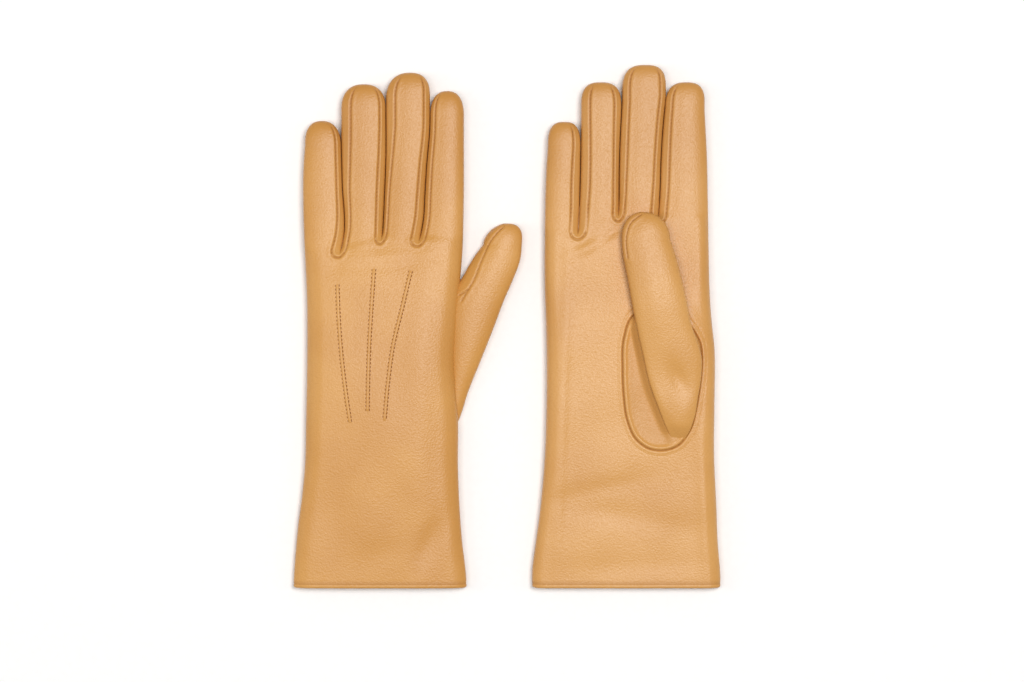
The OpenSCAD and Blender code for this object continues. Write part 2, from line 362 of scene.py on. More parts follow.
def add_node(tree: bpy.types.NodeTree, kind: str, inputs: dict | None = None,
             **settings: object) -> bpy.types.Node:
    """Adds a node, sets it up and links it.

    Args:
        tree: The material's nodes.
        kind: Blender's name for the node.
        inputs: Socket name or number to a value, or to an output socket to link.
        **settings: The node's own properties.

    Returns:
        The new node.
    """
    node = tree.nodes.new(kind)
    for key, value in settings.items():
        setattr(node, key, value)
    for key, value in (inputs or {}).items():
        if isinstance(value, bpy.types.NodeSocket):
            tree.links.new(value, node.inputs[key])
        else:
            node.inputs[key].default_value = value
    return node


def new_finish(name: str) -> tuple[bpy.types.Material, bpy.types.NodeTree]:
    """An empty material and its nodes."""
    material = bpy.data.materials.new(name)
    material.use_nodes = True
    material.node_tree.nodes.clear()
    return material, material.node_tree


def rest_places(tree: bpy.types.NodeTree) -> bpy.types.NodeSocket:
    """Where each point lies at rest, in millimetres, so that a pattern stays put in a bend."""
    return add_node(tree, "ShaderNodeAttribute", attribute_name="rest_mm").outputs["Vector"]


def dress(tree: bpy.types.NodeTree, tone: bpy.types.NodeSocket, inputs: dict) -> None:
    """Adds the surface of a finish and its output.

    Args:
        tree: The material's nodes.
        tone: Base colour.
        inputs: The surface's other inputs.
    """
    surface = add_node(tree, "ShaderNodeBsdfPrincipled", {"Base Color": tone, **inputs})
    add_node(tree, "ShaderNodeOutputMaterial", {"Surface": surface.outputs[0]})


def blend_colours(tree: bpy.types.NodeTree, share: bpy.types.NodeSocket,
                  first: object, second: object) -> bpy.types.NodeSocket:
    """Mixes two colours by a share from 0 to 1."""
    mix = add_node(tree, "ShaderNodeMix", {0: share, 6: first, 7: second}, data_type="RGBA")
    return mix.outputs[2]


@dataclass(frozen=True)
class NappaLambskin:
    """Full-grain lambskin, drum dyed and lightly ironed: a fine even grain with a soft sheen."""

    name: str
    base: str = "#CB9046"
    light: str = "#D39A50"
    deep: str = "#B87A34"
    # Colour of a seam's line: partly dye gathered in it, partly painted shade in its ditch.
    seam: str = "#94561C"
    # Lambskin pores are about 0.3 mm apart. They are drawn at 0.8 mm, so that they still show.
    pore_mm: float = 0.8
    crease_mm: float = 1.1
    cloud_mm: float = 46.0
    pore_depth_mm: float = 0.20
    crease_depth_mm: float = 0.20
    roughness: float = 0.37

    def material(self) -> bpy.types.Material:
        """Builds the material."""
        material, tree = new_finish(self.name)
        rest = rest_places(tree)
        seam = add_node(tree, "ShaderNodeAttribute", attribute_name="seam").outputs["Fac"]
        cloud = add_node(tree, "ShaderNodeTexNoise",
                         {"Vector": rest, "Scale": 1 / self.cloud_mm, "Detail": 2.0})
        creases = add_node(tree, "ShaderNodeTexNoise",
                           {"Vector": rest, "Scale": 1 / self.crease_mm, "Detail": 3.0,
                            "Roughness": 0.55})
        pores = add_node(tree, "ShaderNodeTexVoronoi",
                         {"Vector": rest, "Scale": 1 / self.pore_mm}, feature="SMOOTH_F1")
        spread = add_node(tree, "ShaderNodeMapRange",
                          {0: cloud.outputs[0], 1: 0.38, 2: 0.62, 3: 0.0, 4: 1.0})
        tone = blend_colours(tree, spread.outputs[0], linear(self.base), linear(self.light))
        speck = add_node(tree, "ShaderNodeMapRange",
                         {0: pores.outputs["Distance"], 1: 0.35, 2: 0.8, 3: 0.0, 4: 0.16})
        tone = blend_colours(tree, speck.outputs[0], tone, linear(self.deep))
        place = add_node(tree, "ShaderNodeSeparateXYZ", {"Vector": rest})
        # The leather is coloured darker towards the fingertips.
        tipward = add_node(tree, "ShaderNodeMapRange",
                           {0: place.outputs["Y"], 1: 40.0, 2: 125.0, 3: 0.0, 4: 0.45})
        tone = blend_colours(tree, tipward.outputs[0], tone, linear(self.deep))
        # The seam attribute darkens the leather. In seams it is partly dye gathered there and
        # partly painted shade in their ditches; in the thumb's hollow it is painted shade only.
        tone = blend_colours(tree, seam, tone, linear(self.seam))
        folds = add_node(tree, "ShaderNodeBump",
                         {"Height": creases.outputs[0], "Strength": 0.5,
                          "Distance": self.crease_depth_mm * MM})
        bump = add_node(tree, "ShaderNodeBump",
                        {"Height": pores.outputs["Distance"], "Strength": 0.5,
                         "Distance": self.pore_depth_mm * MM, "Normal": folds.outputs[0]},
                        invert=True)
        rough = add_node(tree, "ShaderNodeMapRange",
                         {0: pores.outputs["Distance"], 1: 0.0, 2: 0.9,
                          3: self.roughness - 0.04, 4: self.roughness + 0.10})
        rough = add_node(tree, "ShaderNodeMath", {0: seam, 1: 0.35, 2: rough.outputs[0]},
                         operation="MULTIPLY_ADD")
        dress(tree, tone, {"Roughness": rough.outputs[0], "IOR": 1.48, "Specular IOR Level": 0.5,
                           "Normal": bump.outputs[0]})
        return material


@dataclass(frozen=True)
class KnittedLining:
    """Fine single-jersey lining, brushed inside: matt, with close upright ribs of stitches."""

    name: str
    base: str = "#CDAE88"
    deep: str = "#A98A63"
    # A lining knit has ribs about 0.7 mm apart.
    rib_mm: float = 0.7

    def material(self) -> bpy.types.Material:
        """Builds the material."""
        material, tree = new_finish(self.name)
        rest = rest_places(tree)
        ribs = add_node(tree, "ShaderNodeTexWave",
                        {"Vector": rest, "Scale": 1 / (self.rib_mm * 3.2), "Distortion": 1.2,
                         "Detail": 1.0}, bands_direction="X")
        tone = blend_colours(tree, ribs.outputs["Fac"], linear(self.deep), linear(self.base))
        bump = add_node(tree, "ShaderNodeBump",
                        {"Height": ribs.outputs["Fac"], "Strength": 0.6, "Distance": 0.1 * MM})
        dress(tree, tone, {"Roughness": 0.92, "Sheen Weight": 0.3, "Specular IOR Level": 0.25,
                           "Normal": bump.outputs[0]})
        return material


@dataclass(frozen=True)
class TwistedThread:
    """Three-ply polyester sewing thread, dyed darker than the leather: a slight shine."""

    name: str
    base: str = "#7A4010"
    light: str = "#96561E"
    # The plies cross the thread about every 0.4 mm.
    ply_mm: float = 0.4

    def material(self) -> bpy.types.Material:
        """Builds the material."""
        material, tree = new_finish(self.name)
        rest = rest_places(tree)
        twist = add_node(tree, "ShaderNodeTexWave",
                         {"Vector": rest, "Scale": 1 / (self.ply_mm * 3.2)},
                         bands_direction="DIAGONAL")
        tone = blend_colours(tree, twist.outputs["Fac"], linear(self.base), linear(self.light))
        bump = add_node(tree, "ShaderNodeBump",
                        {"Height": twist.outputs["Fac"], "Strength": 0.5, "Distance": 0.05 * MM})
        dress(tree, tone, {"Roughness": 0.55, "Normal": bump.outputs[0]})
        return material


@dataclass(frozen=True)
class StudioPaper:
    """Plain matt white background paper."""

    name: str
    base: str = "#FCFBFA"

    def material(self) -> bpy.types.Material:
        """Builds the material."""
        material, tree = new_finish(self.name)
        grain = add_node(tree, "ShaderNodeTexNoise", {"Scale": 900.0, "Detail": 2.0})
        tone = blend_colours(tree, grain.outputs[0], linear(self.base), linear("#F7F6F5"))
        dress(tree, tone, {"Roughness": 0.9, "Specular IOR Level": 0.1})
        return material


@dataclass
class Wardrobe:
    """The finishes that the pieces share."""

    leather: bpy.types.Material
    lining: bpy.types.Material
    thread: bpy.types.Material

    @classmethod
    def for_side(cls, side: Side) -> "Wardrobe":
        """Finishes for one glove. The palm-up glove's skin is a little paler."""
        pale = {} if side is Side.LEFT else {"base": "#CC924A", "light": "#D49C55",
                                             "deep": "#BA7E39"}
        word = side.value
        return cls(
            NappaLambskin(f"{word}_nappa_lambskin", **pale).material(),
            KnittedLining(f"{word}_knitted_lining").material(),
            TwistedThread(f"{word}_twisted_thread").material(),
        )


# ---------------------------------------------------------------- the pattern of a glove


@dataclass(frozen=True)
class Dent:
    """A long soft dent in the leather, or a rise where its depth is negative.

    Attributes:
        x: Middle, across.
        y: Middle, along.
        turn: Direction of its length, degrees from +X.
        length: How far it runs either way.
        width: How far it spreads sideways.
        depth: Depth in the middle.
    """

    x: float
    y: float
    turn: float
    length: float
    width: float
    depth: float

    def fall(self, x: Array, y: Array) -> Array:
        """How far the leather lies below its plain shape."""
        c, s = math.cos(math.radians(self.turn)), math.sin(math.radians(self.turn))
        u, v = (x - self.x) * c + (y - self.y) * s, (y - self.y) * c - (x - self.x) * s
        return self.depth * bell(u, self.length) * bell(v, self.width)


@dataclass(frozen=True)
class Pattern:
    """The cut of one glove as it lies: outlines in millimetres, seen from above.

    Attributes:
        side: Which hand it is for.
        outer_edge: Little-finger edge of the hand, as (y, x).
        inner_edge: Index-finger edge of the hand, as (y, x).
        creases: Lines where neighbouring fingers touch, each from its crotch up, as (y, x).
        tips: Middle of each fingertip, as (x, y).
        strip_widths: Width seen of the strip on each side of the three creases, as
            (near the root, half way, near the tip).
        crown: Rise of the hand above its edges, as (y, rise).
        lift: Rise of the underside where the back's points lie under it.
        dents: Dents and rises of the top.
        seed: Picks the pattern of the leather's unevenness.
        heights: Thickness of the filled glove, as (y, height).
    """

    side: Side
    outer_edge: Points
    inner_edge: Points
    creases: tuple[Points, Points, Points]
    tips: Points
    strip_widths: tuple[tuple[float, float, float], ...]
    crown: Points
    lift: float
    dents: tuple[Dent, ...]
    seed: int
    heights: Points = ((-135.5, 9.5), (-95, 10.8), (-40, HAND_MM), (46, HAND_MM), (110, 11.8))


LEFT_PATTERN = Pattern(
    side=Side.LEFT,
    outer_edge=((-135.5, -110.8), (-119, -109.7), (-103, -108.2), (-88, -106.2), (-72, -104.7),
                (-49, -104.1), (-15, -103.5), (14, -103.6), (43, -104.9), (62, -105.5),
                (80, -105.5), (97, -104.4)),
    inner_edge=((-135.5, -20.8), (-127, -21.4), (-111, -23.3), (-95, -24.5), (-72, -25.4),
                (-49, -25.4), (-33, -26.4), (-15, -27), (0, -25.8), (20, -24.6), (40, -23),
                (57, -22.5), (112, -22.3)),
    creases=(((35.5, -87.1), (40, -85.8), (46, -84.6), (74, -85.3), (98, -85.9)),
             ((42.5, -65.6), (47, -64.6), (55, -64), (68, -63.4), (87, -62.7), (112, -62.7)),
             ((41.3, -46.3), (46, -45), (55, -43.3), (68, -42.5), (83, -41.6), (102, -40),
              (120, -39.8))),
    tips=((-95.9, 106.5), (-74.1, 125.5), (-50.2, 131.5), (-30.9, 122)),
    strip_widths=((5.0, 2.8, 2.7), (2.5, 3.5, 5.0), (3.3, 3.8, 3.0), (2.2, 2.6, 4.8),
                  (4.6, 3.6, 3.0), (3.0, 2.8, 2.6)),
    crown=((-135.5, 1.1), (-100, 2.2), (-30, 2.9), (15, 1.9), (38, 0.9), (50, 0.5), (60, 0.4),
           (70, 0.4)),
    lift=0.0,
    dents=(Dent(-40, -112, 62, 16, 6, 0.9), Dent(-88, -95, 80, 26, 9, 0.6),
           Dent(-44, -40, 88, 95, 8, -0.75), Dent(-66, -118, 20, 14, 7, 0.35),
           Dent(-60, 36.5, 4, 26, 3.4, -0.25), Dent(-62, 31.0, 2, 22, 3.2, 0.2)),
    seed=3,
)

RIGHT_PATTERN = Pattern(
    side=Side.RIGHT,
    outer_edge=((-135.5, 13), (-127, 13.1), (-111, 15.1), (-95, 17.2), (-80, 18.7), (-64, 19.8),
                (-50, 20.3), (0, 20.3), (20, 19.6), (50, 19.6), (80, 20.3), (97, 21.4)),
    inner_edge=((-135.5, 110.8), (-127, 110.5), (-111, 109.2), (-95, 108.6), (-64, 107.3),
                (-40, 107.5), (-10, 107.4), (4, 105.9), (18, 105), (40, 104.5), (62, 104.1),
                (90, 103.5), (112, 102.4)),
    creases=(((44.9, 36.4), (51, 36.9), (60, 37.4), (79, 38), (98, 38.3)),
             ((54.2, 57.4), (60, 57.8), (80, 58.1), (92, 58.4), (109, 59.2), (116, 59.6)),
             ((52.8, 77.8), (58, 78.4), (70, 79.2), (88, 79.8), (107, 81.1), (119, 82.4))),
    tips=((29.6, 106), (48.6, 126.5), (71.6, 135.5), (93, 126.5)),
    strip_widths=((4.0, 4.4, 3.0), (4.0, 4.9, 4.6), (3.0, 2.9, 3.8), (2.7, 3.8, 3.7),
                  (4.2, 3.2, 3.0), (3.8, 4.2, 3.6)),
    crown=((-135.5, 0.3), (-60, -0.5), (20, -0.4), (50, 0.0), (62, 0.0), (75, 0.0)),
    lift=0.68,
    dents=(Dent(95.5, 2, 106, 13, 3.5, -1.2), Dent(48, -84, 12, 24, 4.5, 0.45),
           Dent(60, -98, 170, 34, 6, 0.5), Dent(28.5, -45, 88, 95, 3.2, -0.6),
           Dent(101.5, -92, 93, 42, 2.8, -0.7), Dent(43, 41, 22, 11, 3, -0.7),
           Dent(52, 46, 40, 8, 2.5, 0.5), Dent(70, -124, 2, 40, 5, 0.3)),
    seed=8,
)


@dataclass(frozen=True)
class Form:
    """The filled shape of a glove's trank: where its top and underside lie.

    Attributes:
        pattern: The cut.
        fold: Y of the line where the fingers begin to bend.
        edge_reach: How far in from the edge the side's rounding runs.
        tip_reach: Length of a fingertip's rounding.
        per_finger: Cells across one finger's top.
        strip_columns: Cells across one strip's upper half.
        tip_square: Squareness of the fingertips, 2 for round.
        wall: Half height of the flat side where two fingers press together.
        free_wall: Half height of the flat at a free edge.
        wave: Depth of the leather's unevenness.
    """

    pattern: Pattern
    fold: float
    edge_reach: float = 9.0
    tip_reach: float = 13.0
    per_finger: int = 40
    strip_columns: int = 10
    tip_square: float = 2.4
    wall: float = 1.0
    free_wall: float = 0.3
    wave: float = 0.22

    def crotch(self, edge: int) -> float:
        """Y of the bottom of a crease. The free edges take their neighbour's."""
        return self.pattern.creases[min(max(edge, 1), 3) - 1][0][0]

    def edges(self, y: Array) -> tuple[Array, Array]:
        """X of the hand's outer and inner edges."""
        return curve_through(self.pattern.outer_edge)(y), curve_through(self.pattern.inner_edge)(y)

    def boundary(self, edge: int, y: Array) -> Array:
        """X of the line between two fingers, carried on down the hand. 0 and 4 are its edges."""
        outer, inner = self.edges(y)
        if edge == 0:
            return outer
        if edge == 4:
            return inner
        crease = self.pattern.creases[edge - 1]
        root_y, root_x = crease[0]
        at_root = self.edges(np.array([root_y]))
        share = float((root_x - at_root[0][0]) / (at_root[1][0] - at_root[0][0]))
        spread = outer + (inner - outer) * share
        return spread + (curve_through(crease)(y) - spread) * smooth((y - root_y + 40) / 40)

    def strip_width(self, k: int, outer_side: bool, y: Array) -> Array:
        """Width seen of the strip on one side of finger k, or of the plain edge there."""
        edge = k + (0 if outer_side else 1)
        if edge in (0, 4):
            return np.full(np.shape(y), 2.6)
        widths = self.pattern.strip_widths[2 * (edge - 1) + (1 if outer_side else 0)]
        root = self.crotch(edge)
        return curve_through(list(zip((root, root + 32, root + 62), widths)))(y)

    def seam_distance(self, edge: int, x: Array, y: Array) -> Array:
        """Distance to the seam round a crease, less than 0 on the strips' side."""
        turn = 5.0
        root = self.crotch(edge)
        middle = curve_through(self.pattern.creases[edge - 1])(y)
        width = np.where(x < middle, self.strip_width(edge - 1, False, y),
                         self.strip_width(edge, True, y))
        across, along = (x - middle) / width, np.minimum(y - root - turn, 0.0) / turn
        ring = np.hypot(across, along)
        slope = np.hypot(across / width, along / turn) / np.maximum(ring, 1e-6)
        return (ring - 1.0) / np.maximum(slope, 0.05)

    def height(self, y: Array) -> Array:
        """Thickness of the filled glove at its edges."""
        return curve_through(self.pattern.heights)(y)

    def angles(self, k: int, y: Array, half_width: Array) -> Array:
        """Column angles over finger k, from its outer side (0) to its inner side (pi)."""
        n, m = self.per_finger, self.strip_columns
        first = np.arccos(np.clip(1 - self.strip_width(k, True, y) / half_width, 0.1, 0.95))
        last = np.arccos(np.clip(1 - self.strip_width(k, False, y) / half_width, 0.1, 0.95))
        t = np.linspace(0, 1, n - 2 * m + 1)
        eased = t - 0.12 * np.sin(2 * math.pi * t)
        panel = first[:, None] + (math.pi - last - first)[:, None] * eased
        t = np.linspace(0, 1, m + 1)
        near, far = first[:, None] * t[:-1], math.pi - last[:, None] * t[:-1][::-1]
        return np.concatenate([near, panel, far], axis=1)

    def surface(self, k: int, x: Array, y: Array, angle: Array, upper: bool) -> Array:
        """Height above the table of the leather over finger k's share of the glove.

        Args:
            k: Finger number.
            x: Places across.
            y: Places along.
            angle: Column angles, 0 to pi.
            upper: True for the top, False for the underside.

        Returns:
            Heights.
        """
        pattern = self.pattern
        outer, inner = self.edges(y)
        edge = np.clip(np.minimum(x - outer, inner - x) / self.edge_reach, 0, 1)
        round_off = np.sqrt(1 - (1 - edge) ** 2)
        deep = self.height(y) / 2
        # The leather dips over the line where two fingers meet.
        valley = np.maximum(*(bell(x - self.boundary(e, y[:, 0])[:, None], 5.0) * (0 < e < 4)
                              for e in (k, k + 1)))
        share = smooth(angle / math.pi)
        root = self.crotch(k) * (1 - share) + self.crotch(k + 1) * share
        # Swell turns the hand's one cushion into four, and crease parts them.
        swell = smooth((y - root + 13) / 26)
        crease = smooth((y - root - 1.6) / 5.0)
        lobe = np.sin(np.clip(angle, 0, math.pi))
        floors = [self.free_wall if e in (0, 4) else self.wall for e in (k, k + 1)]
        floor = floors[0] * (1 - share) + floors[1] * share
        middle = (x - (outer + inner) / 2) / ((inner - outer) / 2)
        crown = curve_through(pattern.crown)(y) * (1 - middle**2) if upper else 0.0
        plain = self.free_wall + (deep - self.free_wall) * round_off
        hand = plain + crown * round_off
        soft = plain * (1 - 0.14 * valley) + crown * round_off * 0.4
        finger = floor + (deep - floor) * lobe ** (0.58 if upper else 0.5)
        rise = hand * (1 - swell) + soft * swell
        rise = rise - crease * (soft - finger) * swell**0.2
        if upper:
            rise = rise + self.wave * soft_waves(x, y, 34, pattern.seed) * round_off * (1 - crease)
            for dent in pattern.dents:
                rise = rise - dent.fall(x, y) * round_off * (1 - crease)
            return deep + rise
        lift = pattern.lift * smooth((y + 128) / 25) * (1 - smooth((y - 32) / 28))
        return np.maximum(deep - rise, lift * round_off)

    def segment(self, k: int, y: Array, upper: bool) -> tuple[Array, Array]:
        """Points over one finger's share of the hand, or over the finger itself.

        Args:
            k: Finger number.
            y: Row places.
            upper: True for the top, False for the underside.

        Returns:
            Points before any seam is pressed in, and distances to the nearest seam.
        """
        tip_x, tip_y = self.pattern.tips[k]
        start = tip_y - self.tip_reach
        held = np.minimum(y, start)
        gap = 0.1 * smooth((y - self.fold) / 6)
        left = self.boundary(k, held) + (gap if k > 0 else 0)
        right = self.boundary(k + 1, held) - (gap if k < 3 else 0)
        past = np.clip((y - start) / self.tip_reach, 0, 1)
        middle = (left + right) / 2
        middle = middle + (tip_x - middle) * past**1.5
        shrink = (1 - past**self.tip_square) ** (1 / self.tip_square)
        half_width = (right - left) / 2 * shrink
        angle = self.angles(k, np.clip(y, self.fold, start), (right - left) / 2)
        x = middle[:, None] - half_width[:, None] * np.cos(angle)
        rows = np.broadcast_to(y[:, None], x.shape)
        deep = self.height(held)[:, None] / 2
        z = self.surface(k, x, np.broadcast_to(held[:, None], x.shape), angle, upper)
        z = deep + (z - deep) * shrink[:, None] ** 0.72
        distance = np.full(x.shape, FAR)
        for edge, way in ((k, 1), (k + 1, -1)):
            if edge in (0, 4):
                continue
            column = self.strip_columns if way > 0 else self.per_finger - self.strip_columns
            seam = angle[:, column][:, None]
            arc = (angle - seam) * way * np.hypot(half_width[:, None] * np.sin(seam),
                                                  deep * np.cos(seam))
            share = smooth((rows - self.fold) / 10)
            near = self.seam_distance(edge, x, rows) * (1 - share) + arc * share
            distance = np.where(np.abs(near) < np.abs(distance), near, distance)
        return np.stack([x, rows, z], axis=-1), distance

    def ring(self, fingers: Sequence[int], y: Array) -> tuple[Array, Array]:
        """Rings round the whole hand, or round one finger, with distances to the seams."""
        top = [self.segment(k, y, True) for k in fingers]
        under = [self.segment(k, y, False) for k in fingers]

        def joined(parts: list[Array]) -> Array:
            """Neighbouring fingers' columns side by side, the shared ones once."""
            return np.concatenate([parts[0]] + [p[:, 1:] for p in parts[1:]], axis=1)

        return tuple(np.concatenate([joined([t[i] for t in top]),
                                     joined([u[i] for u in under])[:, ::-1]], axis=1)
                     for i in (0, 1))


def inseam(distance: Array) -> Array:
    """Profile across an inseam: a narrow ditch with a soft roll of leather on both sides."""
    return (-0.55 * bell(distance, 0.34) + 0.36 * bell(distance + 1.1, 0.80)
            + 0.20 * bell(distance - 1.2, 0.9))


def seam_dye_and_shade(distance: Array, along: Array) -> Array:
    """How dark an inseam is painted, partly dye gathered in it and partly painted shade in its
    ditch, with the slight beading that its stitches give it.
    """
    return 0.85 * bell(distance, 0.30) * (0.72 + 0.28 * np.cos(2 * math.pi * along / BEAD_MM))


def press(points: Array, distance: Array, strength: Array | float = 1.0,
          upright: Array | float = 0.0) -> Skin:
    """Presses seams into rings and takes the shading directions of the result.

    Args:
        points: Rings before pressing.
        distance: Distance of each point to the nearest seam.
        strength: Share of the full depth.
        upright: 1 where leather is moved straight up and down, 0 where along its own direction.

    Returns:
        The pressed rings.
    """
    normals = ring_normals(points)
    upright = np.broadcast_to(upright, points.shape[:2])
    way = normals * (1 - upright)[..., None]
    way[..., 2] += np.sign(normals[..., 2]) * upright
    shaped = points + way * (inseam(distance) * strength)[..., None]
    return Skin(shaped, ring_normals(shaped), seam_dye_and_shade(distance, points[..., 1]) * strength)


def line_distance(x: Array, y: Array, line: Array) -> Array:
    """Distance from places to a line of points."""
    best = np.full(np.shape(x), 1e9)
    for (ax, ay), (bx, by) in zip(line[:-1], line[1:]):
        dx, dy = bx - ax, by - ay
        t = np.clip(((x - ax) * dx + (y - ay) * dy) / (dx * dx + dy * dy), 0, 1)
        best = np.minimum(best, np.hypot(x - ax - t * dx, y - ay - t * dy))
    return best


def surface_tree(points: Array, keep: Array) -> BVHTree:
    """Search tree of the upper part of rings, in millimetres."""
    rows, columns = points.shape[:2]
    at = np.arange(rows * columns).reshape(rows, columns)
    cells = keep[:-1, :-1] & keep[1:, 1:]
    quads = np.stack([at[:-1, :-1], at[:-1, 1:], at[1:, 1:], at[1:, :-1]], axis=-1)[cells]
    return BVHTree.FromPolygons(points.reshape(-1, 3).tolist(), quads.tolist())


def drop(tree: BVHTree, x: float, y: float) -> float:
    """Height of a surface at a place, or a hand's thickness where there is none."""
    hit = tree.ray_cast(Vector((x, y, 60.0)), Vector((0.0, 0.0, -1.0)))[0]
    return hit.z if hit else HAND_MM


def tip_rows(start: float, reach: float, count: int) -> Array:
    """Row places round a fingertip, closer together towards its end."""
    return start + reach * np.sin(np.linspace(0, TIP_TURN, count))


def draw_back(points: Array, tip_y: float) -> None:
    """Draws a lining's end back from the leather's tip, in place."""
    points[..., 1] -= 1.2 * smooth((points[..., 1] - tip_y + 8) / 8)


def smooth_line(points: Points, step: float = 0.8, closed: bool = False) -> Array:
    """A smooth line through a few points, as points that lie close together."""
    spots = np.array(list(points) + ([points[0]] if closed else []), float)
    if closed:
        spots = np.concatenate([spots[-3:-1], spots, spots[1:3]])
    run = np.concatenate([[0], np.cumsum(np.hypot(*np.diff(spots, axis=0).T))])
    first, last = (run[2], run[-3]) if closed else (0.0, run[-1])
    at = np.linspace(first, last, max(3, int((last - first) / step)))
    return np.stack([curve_through(list(zip(run, spots[:, i])))(at) for i in (0, 1)], axis=-1)


@dataclass(frozen=True)
class Lobe:
    """The filled shape of a thumb, in rows straight across.

    Attributes:
        left: Its left edge, as (y, x).
        right: Its right edge, as (y, x).
        tip: Its tip, as (x, y).
        base: Height of its underside.
        heights: Its thickness, as (y, height).
        lean: Where its highest line lies, as (y, power): under 1 is left of the middle.
        flanks: Steepness of its left and right sides, low is steep.
        tip_reach: Length of the tip's rounding.
        seams: Lines of its seams, as (x, y).
        dents: Dents and rises.
        sink: How far its beginning sinks into the hand.
        free_wall: Half height of the flat at its sides.
        columns: Cells across its top.
    """

    left: Points
    right: Points
    tip: tuple[float, float]
    base: float
    heights: Points
    lean: Points
    flanks: tuple[float, float]
    tip_reach: float
    seams: tuple[Points, ...]
    dents: tuple[Dent, ...] = ()
    sink: float = 0.0
    free_wall: float = 0.12
    columns: int = 64

    def middle(self, y: Array) -> Array:
        """Height of the line halfway up the thumb, which sinks where the thumb begins."""
        sunk = self.sink * smooth((self.left[0][0] + 12 - y) / 12)
        return self.base + curve_through(self.heights)(y) / 2 - sunk

    def ring(self, y: Array) -> tuple[Array, Array]:
        """Rings of points round the thumb, with distances to its seams."""
        start = self.tip[1] - self.tip_reach
        held = np.minimum(y, start)
        left, right = curve_through(self.left)(held), curve_through(self.right)(held)
        past = np.clip((y - start) / self.tip_reach, 0, 1)
        middle = (left + right) / 2
        middle = (middle + (self.tip[0] - middle) * past**1.4)[:, None]
        shrink = ((1 - past**2.2) ** (1 / 2.2))[:, None]
        half_width = (right - left)[:, None] / 2 * shrink
        angle = np.linspace(0, math.pi, self.columns + 1)[None, :]
        x = middle - half_width * np.cos(angle)
        rows = np.broadcast_to(y[:, None], x.shape)
        share = (1 - np.cos(angle)) / 2
        leaned = np.arccos(1 - 2 * share ** curve_through(self.lean)(y)[:, None])
        power = self.flanks[0] * (1 - share) + self.flanks[1] * share
        deep = curve_through(self.heights)(y)[:, None] / 2 * shrink**0.7
        centre, rise = self.middle(y)[:, None], deep - self.free_wall
        top = centre + self.free_wall + rise * np.sin(leaned) ** power
        for dent in self.dents:
            top = top - dent.fall(x, rows) * shrink
        under = centre - self.free_wall - rise * np.sin(angle) ** 0.45
        distance = np.full(x.shape, FAR)
        for seam in self.seams:
            distance = np.minimum(distance, line_distance(x, rows, smooth_line(seam)))
        points = np.concatenate([np.stack([x, rows, top], axis=-1),
                                 np.stack([x, rows, under], axis=-1)[:, ::-1]], axis=1)
        return points, np.concatenate([distance, np.full(x.shape, FAR)], axis=1)


LEFT_THUMB = Lobe(
    left=((-54, -30), (-10, -30.4), (10, -30), (19, -27.5), (26, -22.8), (32.3, -19.3),
          (39.1, -14.9), (46, -9.2)),
    right=((-54, -27.5), (-48.6, -25), (-33, -19.8), (-17.4, -13.5), (-1.8, -7.3), (14.8, -1),
           (24.2, 3.1), (34.7, 6.9), (44.7, 7.9)),
    tip=(0.6, 53.4),
    base=0.05,
    heights=((-54, 5.0), (-40, 7.2), (-15, 10.0), (10, 11.2), (53, 11.0)),
    lean=((-54, 1.0), (53, 1.0)),
    flanks=(1.25, 0.72),
    tip_reach=11.0,
    seams=(((-1.8, 51.8), (-5.4, 48.3), (-9.4, 42.7), (-11.4, 38.3), (-14.1, 31.9),
            (-16.1, 26.4), (-18.1, 22.4), (-20.5, 18.4), (-23.7, 12.8)),
           ((-19.9, 19.3), (-22.2, 17.6), (-24.8, 16.2))),
)

RIGHT_THUMB = Lobe(
    left=((-62, 86.2), (-57.6, 84.9), (-53.6, 82.9), (-42.7, 78.4), (-29.2, 73.5), (-14.3, 70),
          (9.7, 64.8), (24.4, 62.2), (36.5, 59.9), (47, 59.1)),
    right=((-62, 87.4), (-59, 91.2), (-56.6, 92.9), (-48, 96.4), (-36, 98.6), (-26, 100.1),
           (-16, 100.3), (-7.3, 97.9), (1.1, 95), (14, 92.4), (27, 89.3), (38, 86.3),
           (47, 83.2)),
    tip=(70.5, 58.8),
    base=12.9,
    heights=((-62, 0.6), (-55, 2.2), (-45, 4.0), (-25, 6.2), (-8, 8.4), (10, 10.4), (30, 11.1),
             (59, 10.6)),
    lean=((-62, 0.78), (-20, 0.8), (12, 1.0), (59, 1.0)),
    flanks=(0.62, 0.80),
    tip_reach=14.0,
    seams=(((69, 57.6), (63.6, 53.2), (61.4, 47), (61.2, 41), (62, 35)),),
    dents=(Dent(88, -27, 118, 9, 4.5, 1.3), Dent(79, -38, 112, 13, 3.5, -0.5),
           Dent(91, -46, 75, 9, 5, -0.45), Dent(84, -53, 122, 8, 3, 0.5),
           Dent(76, 44, 0, 9, 12, 0.25), Dent(76, 8, 100, 30, 4, -0.3)),
    sink=3.2,
)

THUMB_HOLE = ((99.9, -9), (100.6, -18), (99.6, -30), (97.6, -42), (94.4, -53.6), (88.6, -61.4),
              (81.4, -64), (73.6, -63.2), (66.8, -58.4), (62.2, -48.6), (60.3, -36), (59.7, -22),
              (60.4, -6), (64.6, 5), (75, 9), (90, 4))


# ---------------------------------------------------------------- the gloves


POINT_PATHS: tuple[Points, ...] = (
    ((-87.6, 22), (-86.9, 5), (-85.6, -13), (-83.6, -31), (-80.9, -50)),
    ((-68.6, 30), (-69.8, 12), (-71, -8), (-71.6, -26), (-71.9, -44)),
    ((-49.6, 29), (-54, 10), (-58.6, -9), (-61.4, -29), (-63.2, -49)),
)


